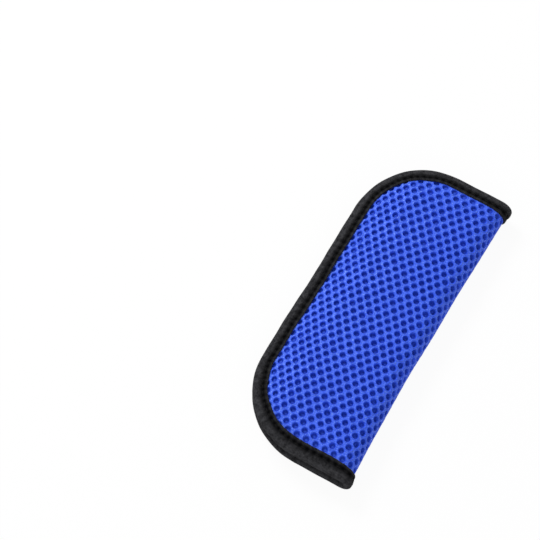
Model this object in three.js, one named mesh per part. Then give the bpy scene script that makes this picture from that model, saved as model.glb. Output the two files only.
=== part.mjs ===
// Seat belt shoulder pad: a soft sleeve of blue air mesh with a foam filling, lined inside, bound all
// round with black tape and folded in half over the belt. Hook and loop strips along the open edge
// hold it shut. Millimetres, +Z up: the pad lies on its lower half, the fold runs along +X, the open
// edge along -X, and the belt runs through it along Y.
//
// The pad is drawn as it is sewn, flat, and then folded. A flat point has three numbers:
//   s    how far round the pad, measured on the outer face from the lower open edge, over the
//        fold, to the upper open edge
//   v    along the belt, 0 at mid-length
//   rho  how far out from the middle plane of the belt tunnel
import * as THREE from "three";

const { clamp, smoothstep, lerp } = THREE.MathUtils;

// Overall size
const padLength = 165;
const padWidth = 66.5;
const cornerRadius = 38;

// Layers, from the belt outwards: full thickness, and squeezed flat under the binding
const liningThickness = 0.7;
const liningSqueezed = 0.4;
const foamThickness = 3.0;
const foamSqueezed = 0.5;
const foamLostInFold = 1.2;
const foldStretch = 0.9;
const meshThickness = 3.0;
const meshSqueezed = 0.9;
const layerClearance = 0.3;
const crownHeight = 0.8;

// Belt tunnel
const tunnelHeight = 4.6;
const tunnelFlare = 1.0;
const openEdgeDroop = 1.8;

// Edge binding
const bindingWidth = 7.2;
const tapeThickness = 0.7;
const tapeRoll = 1.8;
const tapeLapLength = 14;
const tapeLapThickness = 0.5;
const tapeLapPlace = 12;

// Hook and loop closure
const stripWidth = 10;
const stripPastCorner = 5;
const stripThickness = 1.2;
const stripSetback = 1.2;
const stripRamp = 3.5;

// The layers thicken under the binding, and then swell further in to their full thickness
const wedgeShare = 0.5;
const restingReach = 12;
const crownedReach = 20;
const swellSharpness = 2.6;
const swellFullness = 0.62;

// Air mesh openings, in a staggered pattern
const holePitchAcross = 4.75;
const holePitchAlong = 6.4;
const holeDepthShare = 0.45;

const halfLength = padLength / 2;
const openEdgeX = -padWidth / 2;
const tapeStandOff = tapeThickness + layerClearance;
const squeezedStack = liningSqueezed + foamSqueezed + meshSqueezed + 2 * layerClearance;
const fullStack = liningThickness + foamThickness + meshThickness + 2 * layerClearance;
const beltHalfGap = tunnelHeight / 2;
const closureHalfGap = stripThickness + 1.5 * layerClearance;
const tapeEdge = bindingWidth + layerClearance;
const stripStart = bindingWidth + stripSetback;
const stripEnd = stripStart + stripWidth;
const stripHalfLength = halfLength - cornerRadius + stripPastCorner;

// The bound ends of the fold reach the full width of the pad, which settles the width of the flat cut
const endFoldRadius = beltHalfGap + tunnelFlare + squeezedStack;
const flatWidth = 2 * (padWidth - endFoldRadius - tapeStandOff) + Math.PI * endFoldRadius;
const foldLine = flatWidth / 2;
const restingHeight = beltHalfGap + fullStack;

// Distance in from the rounded outline of the flat cut, negative outside it
function insetOf(s, v) {
  const across = Math.abs(s - foldLine) - (foldLine - cornerRadius);
  const along = Math.abs(v) - (halfLength - cornerRadius);
  const corner = Math.hypot(Math.max(across, 0), Math.max(along, 0));
  return cornerRadius - corner - Math.min(Math.max(across, along), 0);
}

// 0 under the tape, and 1 where the pad has swollen up inside it. The half that lies on the ground
// fills out sooner, because its face is pressed flat.
function shoulder(s, v) {
  const upper = smoothstep(s, foldLine - holePitchAlong, foldLine + holePitchAlong);
  const reach = lerp(restingReach, crownedReach, upper);
  const t = clamp((insetOf(s, v) - tapeEdge) / reach, 0, 1);
  return (1 - (1 - t) ** swellSharpness) ** swellFullness;
}

// 0 where the tape squeezes the layers flat, 1 where they are full. They part-way thicken under the
// tape, which tilts it down towards the edge.
function swell(s, v) {
  const underTape = clamp((insetOf(s, v) - tapeRoll) / (tapeEdge - tapeRoll), 0, 1);
  return wedgeShare * underTape + (1 - wedgeShare) * shoulder(s, v);
}

const fromOpenEdge = (s) => Math.min(s, flatWidth - s);

// Half the height between the two lined faces: close at the hook and loop, open for the belt
function halfGap(s, v) {
  const belt = beltHalfGap + tunnelFlare * (1 - shoulder(s, v));
  const pastStrips = smoothstep(fromOpenEdge(s), stripEnd, stripEnd + stripRamp);
  const pastEnds = smoothstep(Math.abs(v), stripHalfLength, halfLength - bindingWidth);
  return lerp(closureHalfGap, belt, Math.max(pastStrips, pastEnds));
}

// Height of the tunnel's middle plane: the open edge droops a little
function middleHeight(s) {
  const rise = smoothstep(fromOpenEdge(s), bindingWidth / 2, stripEnd + stripRamp);
  return restingHeight - openEdgeDroop * (1 - rise);
}

// The inner and outer face of each layer, as distances from the tunnel's middle plane
function layersAt(s, v) {
  const full = swell(s, v);
  const nearFold = 1 - smoothstep(Math.abs(s - foldLine), 0, Math.PI * endFoldRadius);
  const upper = smoothstep(s, foldLine, flatWidth);
  const crown = crownHeight * full * Math.sin(Math.PI * upper) * Math.cos((Math.PI * v) / padLength);
  const foam = lerp(foamSqueezed, foamThickness - foamLostInFold * nearFold + crown, full);
  const lining = [halfGap(s, v)];
  lining[1] = lining[0] + lerp(liningSqueezed, liningThickness, full);
  const filling = [lining[1] + layerClearance, lining[1] + layerClearance + foam];
  const cover = [filling[1] + layerClearance];
  cover[1] = cover[0] + lerp(meshSqueezed, meshThickness, full);
  return { lining, filling, cover };
}

// Folds a flat point: straight out to the fold, half a turn round it, and straight back. The air
// mesh stretches a little over the fold, where the pad is as thick as it gets.
function fold(s, v, rho) {
  const foldRadius = layersAt(foldLine, v).cover[1] - foldStretch * swell(foldLine, v);
  const straight = foldLine - (Math.PI * foldRadius) / 2;
  const turn = clamp((s - straight) / foldRadius, 0, Math.PI);
  const reach = Math.min(fromOpenEdge(s), straight);
  return new THREE.Vector3(
    openEdgeX + reach + rho * Math.sin(turn),
    v,
    middleHeight(s) - rho * Math.cos(turn),
  );
}

// A closed mesh from flat points and triangles
function folded(name, points, triangles, material) {
  const placed = points.map(([s, v, rho]) => fold(s, v, rho));
  const geometry = new THREE.BufferGeometry().setFromPoints(placed);
  geometry.setIndex(triangles.flat());
  geometry.computeVertexNormals();
  const mesh = new THREE.Mesh(geometry, material);
  mesh.name = name;
  return mesh;
}

// Equal steps from one value to another, both ends included
function steps(from, to, longest) {
  const count = Math.max(1, Math.ceil(Math.abs(to - from) / longest));
  return Array.from({ length: count + 1 }, (_, i) => lerp(from, to, i / count));
}

// Places across and along the pad where its outline is divided. They are close together over the
// fold and at the lapped end of the tape.
const flatAcross = foldLine - cornerRadius;
const flatAlong = halfLength - cornerRadius;
const tightBend = (Math.PI * endFoldRadius) / 2;
const wideBend = (Math.PI * (restingHeight - foamLostInFold)) / 2;
const halfAcross = [...steps(tightBend, wideBend, 9), ...steps(wideBend, flatAcross, 9).slice(1)];
const lapStart = tapeLapPlace - tapeLapLength / 2;
const lapEnd = tapeLapPlace + tapeLapLength / 2;
const placesAcross = [
  ...halfAcross.map((s) => foldLine - s).reverse(),
  ...steps(foldLine - tightBend, foldLine + tightBend, 2.5).slice(1, -1),
  ...halfAcross.map((s) => foldLine + s),
];
const placesAlong = [
  ...steps(-flatAlong, lapStart - layerClearance, 15),
  ...steps(lapStart, lapEnd, 15),
  ...steps(lapEnd + layerClearance, flatAlong, 15),
];

// Points round the outline of the flat cut, each with its way in
function outlineStations() {
  const corner = (side, end, from) =>
    steps(from, from + Math.PI / 2, Math.PI / 12)
      .slice(1, -1)
      .map((turn) => {
        const [c, n] = [Math.cos(turn), Math.sin(turn)];
        const s = foldLine + side * flatAcross + cornerRadius * c;
        return { s, v: end * flatAlong + cornerRadius * n, way: [-c, -n] };
      });
  const lapped = (v) => v >= lapStart && v <= lapEnd;
  return [
    ...placesAcross.map((s) => ({ s, v: -halfLength, way: [0, 1] })),
    ...corner(1, -1, -Math.PI / 2),
    ...placesAlong.map((v) => ({ s: flatWidth, v, way: [-1, 0], lapped: lapped(v) })),
    ...corner(1, 1, 0),
    ...placesAcross.map((s) => ({ s, v: halfLength, way: [0, -1] })).reverse(),
    ...corner(-1, 1, Math.PI / 2),
    ...placesAlong.map((v) => ({ s: 0, v, way: [1, 0] })).reverse(),
    ...corner(-1, -1, Math.PI),
  ];
}

// One net of flat triangles serves every layer, so that the layers lie evenly on each other: rings
// that follow the outline, and a plain grid inside the innermost ring
function flatNet() {
  const places = [];
  const known = new Map();
  const at = (s, v) => {
    const key = `${s.toFixed(3)},${v.toFixed(3)}`;
    if (!known.has(key)) known.set(key, places.push([s, v]) - 1);
    return known.get(key);
  };
  const insets = [tapeRoll, tapeEdge, stripStart, stripEnd, stripEnd + stripRamp, cornerRadius];
  const stations = outlineStations();
  const rings = insets.map((inset) =>
    stations.map(({ s, v, way }) => at(s + way[0] * inset, v + way[1] * inset)),
  );
  const triangles = rings.slice(1).flatMap((ring, n) => bandOf(rings[n], ring));
  for (let i = 0; i + 1 < placesAcross.length; i++) {
    for (let j = 0; j + 1 < placesAlong.length; j++) {
      const [s0, s1, v0, v1] = [...placesAcross.slice(i, i + 2), ...placesAlong.slice(j, j + 2)];
      const [a, b, c, d] = [at(s0, v0), at(s1, v0), at(s1, v1), at(s0, v1)];
      triangles.push([a, b, c], [a, c, d]);
    }
  }
  return { places, triangles, rings };
}

// The band of triangles between two rings of the same number of points
function bandOf(outer, inner) {
  return outer.flatMap((a, k) => {
    const m = (k + 1) % outer.length;
    return [
      [a, outer[m], inner[m]],
      [a, inner[m], inner[k]],
    ].filter((triangle) => new Set(triangle).size === 3);
  });
}

// A layer of the pad between two faces, each given as its distance out at a flat point
function layer(name, net, inner, outer, material) {
  const points = [inner, outer].flatMap((face) => net.places.map(([s, v]) => [s, v, face(s, v)]));
  const raised = (k) => k + net.places.length;
  const rim = net.rings[0];
  const triangles = [
    ...net.triangles,
    ...net.triangles.map(([a, b, c]) => [raised(a), raised(c), raised(b)]),
    ...bandOf(rim.map(raised), rim),
  ];
  return folded(name, points, triangles, material);
}

// The openings of the air mesh that lie clear of the binding, as flat centre points by lattice place
function holeCentres() {
  const centres = new Map();
  const across = Math.ceil(foldLine / (holePitchAcross / 2));
  const along = Math.ceil(halfLength / (holePitchAlong / 2));
  for (let i = -across; i <= across; i++) {
    for (let j = -along; j <= along; j++) {
      if ((i + j) % 2) continue;
      const centre = [foldLine + (i * holePitchAcross) / 2, (j * holePitchAlong) / 2];
      if (insetOf(...centre) > tapeEdge + 0.56 * holePitchAcross) centres.set(`${i},${j}`, centre);
    }
  }
  return centres;
}

// Steps from one opening to its six neighbours, in order round it
const NEIGHBOURS = [[2, 0], [1, 1], [-1, 1], [-2, 0], [-1, -1], [1, -1]];

// The face of the air mesh: each opening is a six-sided pit, and the yarn stands up as the ridges
// that it shares with its neighbours. Three pits meet at each corner.
function pitFaces(points) {
  const corners = new Map();
  const corner = (i, j, first, second) => {
    const [di, dj] = [3 * i + first[0] + second[0], 3 * j + first[1] + second[1]];
    const key = `${di},${dj}`;
    if (!corners.has(key)) {
      const [s, v] = [foldLine + (di * holePitchAcross) / 6, (dj * holePitchAlong) / 6];
      corners.set(key, points.push([s, v, layersAt(s, v).cover[1]]) - 1);
    }
    return corners.get(key);
  };
  return [...holeCentres()].flatMap(([key, [s, v]]) => {
    const [i, j] = key.split(",").map(Number);
    const { cover } = layersAt(s, v);
    const bottom = points.push([s, v, lerp(cover[1], cover[0], holeDepthShare)]) - 1;
    const ring = NEIGHBOURS.map((step, n) => corner(i, j, step, NEIGHBOURS[(n + 1) % 6]));
    return ring.map((k, n) => [bottom, ring[(n + 1) % 6], k]);
  });
}

// The edge of a patch of triangles: the one loop of sides that only one triangle has
function edgeLoop(triangles) {
  const sides = new Set(triangles.flatMap(([a, b, c]) => [`${a},${b}`, `${b},${c}`, `${c},${a}`]));
  const next = new Map();
  for (const side of sides) {
    const [a, b] = side.split(",").map(Number);
    if (!sides.has(`${b},${a}`)) next.set(a, b);
  }
  const loop = [next.keys().next().value];
  while (next.get(loop.at(-1)) !== loop[0]) loop.push(next.get(loop.at(-1)));
  return loop;
}

// The plain strip of mesh between the tape and the outermost pits. The two loops run side by side,
// and the strip steps along one or the other, whichever makes the shorter line across it, so that
// each triangle is small and follows the fold.
function plainStrip(points, outer, inner) {
  const span = (a, b) => Math.hypot(points[a][0] - points[b][0], points[a][1] - points[b][1]);
  const nearest = inner.reduce((k, m) => (span(outer[0], m) < span(outer[0], k) ? m : k));
  const start = inner.indexOf(nearest);
  const outerLoop = [...outer, outer[0]];
  const innerLoop = [...inner.slice(start), ...inner.slice(0, start + 1)];
  const triangles = [];
  let [i, j] = [0, 0];
  while (i < outer.length || j < inner.length) {
    const [a, b] = [outerLoop[i], innerLoop[j]];
    const outerFirst =
      j === inner.length || (i < outer.length && span(outerLoop[i + 1], b) < span(a, innerLoop[j + 1]));
    if (outerFirst) triangles.push([outerLoop[++i], a, b]);
    else triangles.push([b, innerLoop[++j], a]);
  }
  return triangles;
}

function airMeshCover(net, material) {
  const points = net.places.map(([s, v]) => [s, v, layersAt(s, v).cover[0]]);
  const [rim, besideTape] = net.rings.slice(0, 2).map((ring) =>
    ring.map((k) => {
      const [s, v] = net.places[k];
      return points.push([s, v, layersAt(s, v).cover[1]]) - 1;
    }),
  );
  const pits = pitFaces(points);
  const triangles = [
    ...net.triangles,
    ...bandOf(rim, net.rings[0]),
    ...bandOf(rim, besideTape).map(([a, b, c]) => [a, c, b]),
    ...plainStrip(points, besideTape, edgeLoop(pits).reverse()),
    ...pits,
  ];
  return folded("mesh_cover", points, triangles, material);
}

// The tape is one U-shaped strip that runs round the whole edge, with its end lapped over its start
function edgeBinding(material) {
  const rollTurns = steps(0, Math.PI, Math.PI / 6);
  const points = [];
  const sections = outlineStations().map(({ s, v, way, lapped }) => {
    const standOff = tapeStandOff + (lapped ? tapeLapThickness : 0);
    const at = (inset) => [s + way[0] * inset, v + way[1] * inset];
    const facesAt = (inset) => {
      const { lining, cover } = layersAt(...at(inset));
      return [lining[0], cover[1]];
    };
    const [tipInner, tipOuter] = facesAt(bindingWidth);
    const [rollInner, rollOuter] = facesAt(tapeRoll);
    const middle = (rollInner + rollOuter) / 2;
    const half = (rollOuter - rollInner) / 2 + tapeStandOff;
    const roll = rollTurns.map((turn) => {
      const out = turn < Math.PI / 2 ? half + standOff - tapeStandOff : half;
      return [tapeRoll * (1 - Math.sin(turn)), middle + out * Math.cos(turn)];
    });
    const section = [
      [bindingWidth, tipOuter + layerClearance],
      [bindingWidth, tipOuter + standOff],
      ...roll,
      [bindingWidth, tipInner - tapeStandOff],
      [bindingWidth, tipInner - layerClearance],
      [tapeRoll, rollInner - layerClearance],
      [tapeThickness, middle - half / 2],
      [tapeThickness, middle + half / 2],
      [tapeRoll, rollOuter + layerClearance],
    ];
    return section.map(([inset, rho]) => points.push([...at(inset), rho]) - 1);
  });
  // Each face of the tape is split along the same diagonal as the layer that it lies on
  const liningSide = rollTurns.length + 3;
  const triangles = sections.flatMap((here, i) => {
    const there = sections[(i + 1) % sections.length];
    return here.flatMap((a, k) => {
      const m = (k + 1) % here.length;
      const [b, c, d] = [here[m], there[m], there[k]];
      const onLining = [[a, d, b], [d, c, b]];
      return k === liningSide ? onLining : [[a, c, b], [a, d, c]];
    });
  });
  return folded("edge_binding", points, triangles, material);
}

// A strip of hook or loop tape, sewn to the lining beside the binding
function closureStrip(name, near, far, material) {
  const points = [];
  for (const out of [layerClearance + stripThickness, layerClearance]) {
    for (const s of [near, far]) {
      for (const v of [-stripHalfLength, stripHalfLength]) points.push([s, v, halfGap(s, v) - out]);
    }
  }
  const rim = [0, 2, 3, 1];
  const raised = rim.map((k) => k + 4);
  const triangles = [[0, 2, 3], [0, 3, 1], [4, 7, 6], [4, 5, 7], ...bandOf(raised, rim)];
  return folded(name, points, triangles, material);
}

const finish = (color, roughness) => new THREE.MeshStandardMaterial({ color, roughness, metalness: 0 });
const blueMesh = finish(0x2f55e8, 0.75);
const blackTape = finish(0x1d1d20, 0.8);
const blackLining = finish(0x16161a, 0.9);
const whiteFoam = finish(0xe9e6dc, 0.95);

const net = flatNet();
const innerFaceOf = (part) => (s, v) => layersAt(s, v)[part][0];
const outerFaceOf = (part) => (s, v) => layersAt(s, v)[part][1];

const pad = new THREE.Group();
pad.add(
  airMeshCover(net, blueMesh),
  layer("foam_filling", net, innerFaceOf("filling"), outerFaceOf("filling"), whiteFoam),
  layer("inner_lining", net, innerFaceOf("lining"), outerFaceOf("lining"), blackLining),
  edgeBinding(blackTape),
  closureStrip("loop_strip", stripStart, stripEnd, blackTape),
  closureStrip("hook_strip", flatWidth - stripEnd, flatWidth - stripStart, blackTape),
);

export default pad;
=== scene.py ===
# %% [markdown]
# # A seat belt shoulder pad in air mesh
# The real pad is one flat rounded panel, sewn up like a sandwich: blue air mesh outside, thin foam,
# black lining. Black tape is folded over the edge all round, and then the panel is folded in half
# along its length, over the belt. This lesson builds it in the same order. Every piece is worked
# out on the flat panel with numpy, and one folding function puts them all where they belong.

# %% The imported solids
import math

import bpy
import numpy as np
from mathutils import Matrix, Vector


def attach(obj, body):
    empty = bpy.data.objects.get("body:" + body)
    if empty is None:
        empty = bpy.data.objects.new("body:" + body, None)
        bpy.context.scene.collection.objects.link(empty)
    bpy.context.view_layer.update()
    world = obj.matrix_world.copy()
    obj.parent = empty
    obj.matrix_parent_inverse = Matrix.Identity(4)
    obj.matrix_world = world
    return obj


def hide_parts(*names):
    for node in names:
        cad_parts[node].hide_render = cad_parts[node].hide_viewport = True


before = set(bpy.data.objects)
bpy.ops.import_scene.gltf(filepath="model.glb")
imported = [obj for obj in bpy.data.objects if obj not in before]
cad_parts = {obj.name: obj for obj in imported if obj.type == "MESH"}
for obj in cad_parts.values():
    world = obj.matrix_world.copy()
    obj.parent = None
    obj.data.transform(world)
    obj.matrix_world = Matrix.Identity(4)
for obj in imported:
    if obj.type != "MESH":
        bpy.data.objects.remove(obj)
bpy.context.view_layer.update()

print("solids:", sorted(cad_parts))

# %% [markdown]
# ## The sizes
# They are the sizes of the real pad in millimetres, the unit that a sewing pattern uses. A point of
# the pad has three numbers: `s`, how far round the panel it is, from the lower open edge over the
# fold to the upper one; `v`, how far along the belt; and `rho`, how far out of the belt tunnel.

# %% Sizes of the layers and the outline
MM = 0.001
PAD_LENGTH, PAD_WIDTH, CORNER_RADIUS = 165.0, 66.5, 38.0
LINING, LINING_SQUEEZED = 0.7, 0.4
FOAM, FOAM_SQUEEZED, FOAM_LOST_IN_FOLD = 3.0, 0.5, 1.2
MESH, MESH_SQUEEZED = 3.0, 0.9
CLEARANCE, CROWN = 0.3, 0.8
TUNNEL_HEIGHT, TUNNEL_FLARE, OPEN_EDGE_DROOP = 4.6, 1.0, 1.8
BINDING_WIDTH, TAPE, TAPE_ROLL = 7.2, 0.7, 1.8
STRIP_WIDTH, STRIP, STRIP_SETBACK, STRIP_RAMP, STRIP_PAST_CORNER = 10.0, 1.2, 1.2, 3.5, 5.0

HALF_LENGTH = PAD_LENGTH / 2
OPEN_EDGE_X = -PAD_WIDTH / 2
STAND_OFF = TAPE + CLEARANCE
SQUEEZED_STACK = LINING_SQUEEZED + FOAM_SQUEEZED + MESH_SQUEEZED + 2 * CLEARANCE
FULL_STACK = LINING + FOAM + MESH + 2 * CLEARANCE
BELT_HALF_GAP = TUNNEL_HEIGHT / 2
CLOSURE_HALF_GAP = STRIP + 1.5 * CLEARANCE
TAPE_EDGE = BINDING_WIDTH + CLEARANCE
STRIP_START = BINDING_WIDTH + STRIP_SETBACK
STRIP_END = STRIP_START + STRIP_WIDTH
STRIP_HALF_LENGTH = HALF_LENGTH - CORNER_RADIUS + STRIP_PAST_CORNER
END_FOLD_RADIUS = BELT_HALF_GAP + TUNNEL_FLARE + SQUEEZED_STACK
FLAT_WIDTH = 2 * (PAD_WIDTH - END_FOLD_RADIUS - STAND_OFF) + math.pi * END_FOLD_RADIUS
FOLD_LINE = FLAT_WIDTH / 2
RESTING_HEIGHT = BELT_HALF_GAP + FULL_STACK
print(f"flat panel {FLAT_WIDTH:.1f} x {PAD_LENGTH:.1f} mm")

# %% [markdown]
# ## From the flat panel to the folded pad
# Sewing squeezes the layers under the tape, and they swell to their full thickness further in. The
# fold is a half turn whose radius follows from the thickness. Cloth could be simulated instead, but
# a thin quilted panel held flat by its tape hardly moves, and a formula gives the same pad each time.
# Because each piece goes through these same functions, the layers stay evenly apart however the pad
# bulges.


# %% How far in from the edge
def ramp(x, low, high):
    """0 below low, 1 above high, and the smooth curve 3t^2 - 2t^3 between them."""
    t = np.clip((x - low) / (high - low), 0, 1)
    return t * t * (3 - 2 * t)


def mix(a, b, t):
    """The straight mix a + (b - a) t."""
    return a + (b - a) * t


def inset_of(s, v):
    """How far a flat point lies in from the panel's rounded outline."""
    across = np.abs(s - FOLD_LINE) - (FOLD_LINE - CORNER_RADIUS)
    along = np.abs(v) - (HALF_LENGTH - CORNER_RADIUS)
    corner = np.hypot(np.maximum(across, 0), np.maximum(along, 0))
    return CORNER_RADIUS - corner - np.minimum(np.maximum(across, along), 0)


print(f"inset at the middle of the panel: {inset_of(FOLD_LINE, 0.0):.2f} mm")

# %% How the layers swell
WEDGE = 0.5
RESTING_REACH, CROWNED_REACH, CHANGE_AT_FOLD = 12.0, 20.0, 6.4
SHARPNESS, FULLNESS = 2.6, 0.62


def shoulder(s, v):
    """0 under the tape, and up to 1 inside it along the round line (1 - (1 - t)^a)^b, with t the
    share of the way in. The upper half, which nothing presses flat, rises over a longer reach."""
    upper = ramp(s, FOLD_LINE - CHANGE_AT_FOLD, FOLD_LINE + CHANGE_AT_FOLD)
    t = np.clip((inset_of(s, v) - TAPE_EDGE) / mix(RESTING_REACH, CROWNED_REACH, upper), 0, 1)
    return (1 - (1 - t) ** SHARPNESS) ** FULLNESS


def swell(s, v):
    """0 at the roll of the tape, WEDGE at its inner edge, and then up to 1 along the shoulder."""
    under_tape = np.clip((inset_of(s, v) - TAPE_ROLL) / (TAPE_EDGE - TAPE_ROLL), 0, 1)
    return WEDGE * under_tape + (1 - WEDGE) * shoulder(s, v)


def half_gap(s, v):
    """Half the height of the belt tunnel, close at the closure strips and open beyond them."""
    belt = BELT_HALF_GAP + TUNNEL_FLARE * (1 - shoulder(s, v))
    near_edge = np.minimum(s, FLAT_WIDTH - s)
    past_strips = ramp(near_edge, STRIP_END, STRIP_END + STRIP_RAMP)
    past_ends = ramp(np.abs(v), STRIP_HALF_LENGTH, HALF_LENGTH - BINDING_WIDTH)
    return mix(CLOSURE_HALF_GAP, belt, np.maximum(past_strips, past_ends))


def layer_faces(s, v):
    """The inner and outer face of each layer, as distances out of the tunnel's middle plane. The
    foam loses a little in the fold, and crowns the upper half by CROWN sin(pi u) cos(pi v / length)."""
    full = swell(s, v)
    near_fold = 1 - ramp(np.abs(s - FOLD_LINE), 0, math.pi * END_FOLD_RADIUS)
    upper = ramp(s, FOLD_LINE, FLAT_WIDTH)
    crown = CROWN * full * np.sin(math.pi * upper) * np.cos(math.pi * v / PAD_LENGTH)
    foam = mix(FOAM_SQUEEZED, FOAM - FOAM_LOST_IN_FOLD * near_fold + crown, full)
    lining_in = half_gap(s, v)
    lining_out = lining_in + mix(LINING_SQUEEZED, LINING, full)
    foam_in = lining_out + CLEARANCE
    foam_out = foam_in + foam
    mesh_in = foam_out + CLEARANCE
    mesh_out = mesh_in + mix(MESH_SQUEEZED, MESH, full)
    return {"lining": (lining_in, lining_out), "foam": (foam_in, foam_out), "mesh": (mesh_in, mesh_out)}


thickness = layer_faces(0.75 * FLAT_WIDTH, 0.0)["mesh"][1] - BELT_HALF_GAP
print(f"thickness in the middle of the upper half: {thickness:.2f} mm")

# %% The fold
FOLD_STRETCH, FOLD_BOW = 0.9, 2.0
SIDE_RIPPLE, FINE_SIDE_RIPPLE = 0.22, 0.12
RISE_RIPPLE, FINE_RISE_RIPPLE = 0.012, 0.008


def fold(s, v, rho):
    """Straight out to the fold, half a turn round it and straight back, in metres. The turn's angle
    is (s - straight) / radius, and the mesh stretched round it makes the radius a little smaller.
    The bound ends pull the fold outwards by FOLD_BOW (v / half length)^2, which fades out towards the
    open edge, and a slow ripple of a few tenths of a millimetre, a sum of sines of the place, keeps
    the pad soft."""
    s, v, rho = np.broadcast_arrays(s, v, rho)
    full = swell(FOLD_LINE, v)
    radius = layer_faces(FOLD_LINE, v)["mesh"][1] - FOLD_STRETCH * full
    straight = FOLD_LINE - math.pi * radius / 2
    turn = np.clip((s - straight) / radius, 0, math.pi)
    near_edge = np.minimum(s, FLAT_WIDTH - s)
    rise = ramp(near_edge, BINDING_WIDTH / 2, STRIP_END + STRIP_RAMP)
    x = OPEN_EDGE_X + np.minimum(near_edge, straight) + rho * np.sin(turn)
    z = RESTING_HEIGHT - OPEN_EDGE_DROOP * (1 - rise) - rho * np.cos(turn)
    x = x + FOLD_BOW * ramp(x, OPEN_EDGE_X / 3, -OPEN_EDGE_X) * (v / HALF_LENGTH) ** 2
    x = x + SIDE_RIPPLE * np.sin(v / 17 + 0.8) + FINE_SIDE_RIPPLE * np.sin(v / 7.3 + z / 9)
    z = z * (1 + RISE_RIPPLE * np.sin(v / 21 + x / 15) + FINE_RISE_RIPPLE * np.sin(v / 9 - x / 11))
    return np.stack([x, v, z], axis=-1) * MM


middle_of_fold = fold(FOLD_LINE, 0.0, layer_faces(FOLD_LINE, 0.0)["mesh"][1])
print("middle of the fold in metres:", middle_of_fold.round(4))

# %% [markdown]
# ## Turning arrays into meshes
# A piece could be drawn by hand with modifiers, but a sewn panel is a set of plain surfaces, so each
# is one array of points and one array of faces. Every mesh keeps its flat place in a UV map, so that
# a weave follows the cloth round the fold.


# %% Mesh helpers
def make_piece(name, points, faces, flat, finish):
    """A mesh object from points (n, 3), faces (m, 3 or 4) and flat places (n, 2) in millimetres."""
    mesh = bpy.data.meshes.new(name)
    faces = np.asarray(faces, dtype=np.int32)
    sides = faces.shape[1]
    mesh.vertices.add(len(points))
    mesh.vertices.foreach_set("co", np.asarray(points, dtype=np.float32).ravel())
    mesh.loops.add(faces.size)
    mesh.loops.foreach_set("vertex_index", faces.ravel())
    mesh.polygons.add(len(faces))
    mesh.polygons.foreach_set("loop_start", np.arange(0, faces.size, sides, dtype=np.int32))
    mesh.polygons.foreach_set("use_smooth", np.ones(len(faces), dtype=bool))
    mesh.update(calc_edges=True)
    places = mesh.uv_layers.new(name="flat")
    places.uv.foreach_set("vector", np.asarray(flat, dtype=np.float32)[faces.ravel()].ravel())
    mesh.validate()
    piece = bpy.data.objects.new(name, mesh)
    bpy.context.scene.collection.objects.link(piece)
    mesh.materials.append(finish)
    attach(piece, "root")
    print(f"{name}: {len(points)} points, {len(faces)} faces")
    return piece


def grid_faces(rows, columns, close_rows=False, close_columns=False):
    """Four-sided faces of a rows x columns grid of points, closed on itself where asked."""
    i = np.arange(rows if close_rows else rows - 1)[:, None]
    j = np.arange(columns if close_columns else columns - 1)[None, :]
    i2, j2 = (i + 1) % rows, (j + 1) % columns
    corners = [i * columns + j, i2 * columns + j, i2 * columns + j2, i * columns + j2]
    return np.stack(corners, axis=-1).reshape(-1, 4)


def sheet_faces(rows, columns):
    """Faces of a closed sheet. Its points are two equal grids, one after the other: the first side,
    the second side turned over, and a wall round the rim."""
    count = rows * columns
    side = grid_faces(rows, columns)
    index = np.arange(count).reshape(rows, columns)
    rim = np.concatenate([index[:, 0], index[-1, 1:], index[-2::-1, -1], index[0, -2:0:-1]])
    after = np.roll(rim, -1)
    wall = np.stack([rim + count, after + count, after, rim], axis=-1)
    return np.concatenate([side, side[:, ::-1] + count, wall])


print("faces of a closed sheet of 3 x 4 points:", len(sheet_faces(3, 4)))

# %% [markdown]
# ## Shader maths
# Node maths is easier to read as a sum than as a web of boxes. `Number` wraps the output of a node,
# and `+`, `-`, `*` and `/` add the Math nodes. Everything else comes from one method, `node`.


# %% Shader helpers
TURN = 2 * math.pi


class Number:
    """A number on a wire of a material."""

    def __init__(self, finish, socket):
        self.finish, self.socket = finish, socket

    def math(self, operation, *others):
        return self.finish.node("ShaderNodeMath", {"operation": operation}, [self, *others])

    def __add__(self, other):
        return self.math("ADD", other)

    def __sub__(self, other):
        return self.math("SUBTRACT", other)

    def __mul__(self, other):
        return self.math("MULTIPLY", other)

    def __truediv__(self, other):
        return self.math("DIVIDE", other)

    __radd__, __rmul__ = __add__, __mul__

    def __rsub__(self, other):
        return self.math("MULTIPLY_ADD", -1.0, other)

    def between(self, low, high):
        """A smooth step from 0 at low to 1 at high."""
        return self.finish.node("ShaderNodeMapRange", {"interpolation_type": "SMOOTHSTEP"},
                                {"Value": self, "From Min": low, "From Max": high})

    def fraction_from_middle(self):
        """The distance to the nearest whole number, with its sign."""
        return (self + 0.5).math("FRACT") - 0.5

    def stripes(self):
        """Stripes that rise from 0 to 1 and sink back once in each turn of an angle."""
        return self.math("SINE") * 0.5 + 0.5


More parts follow.
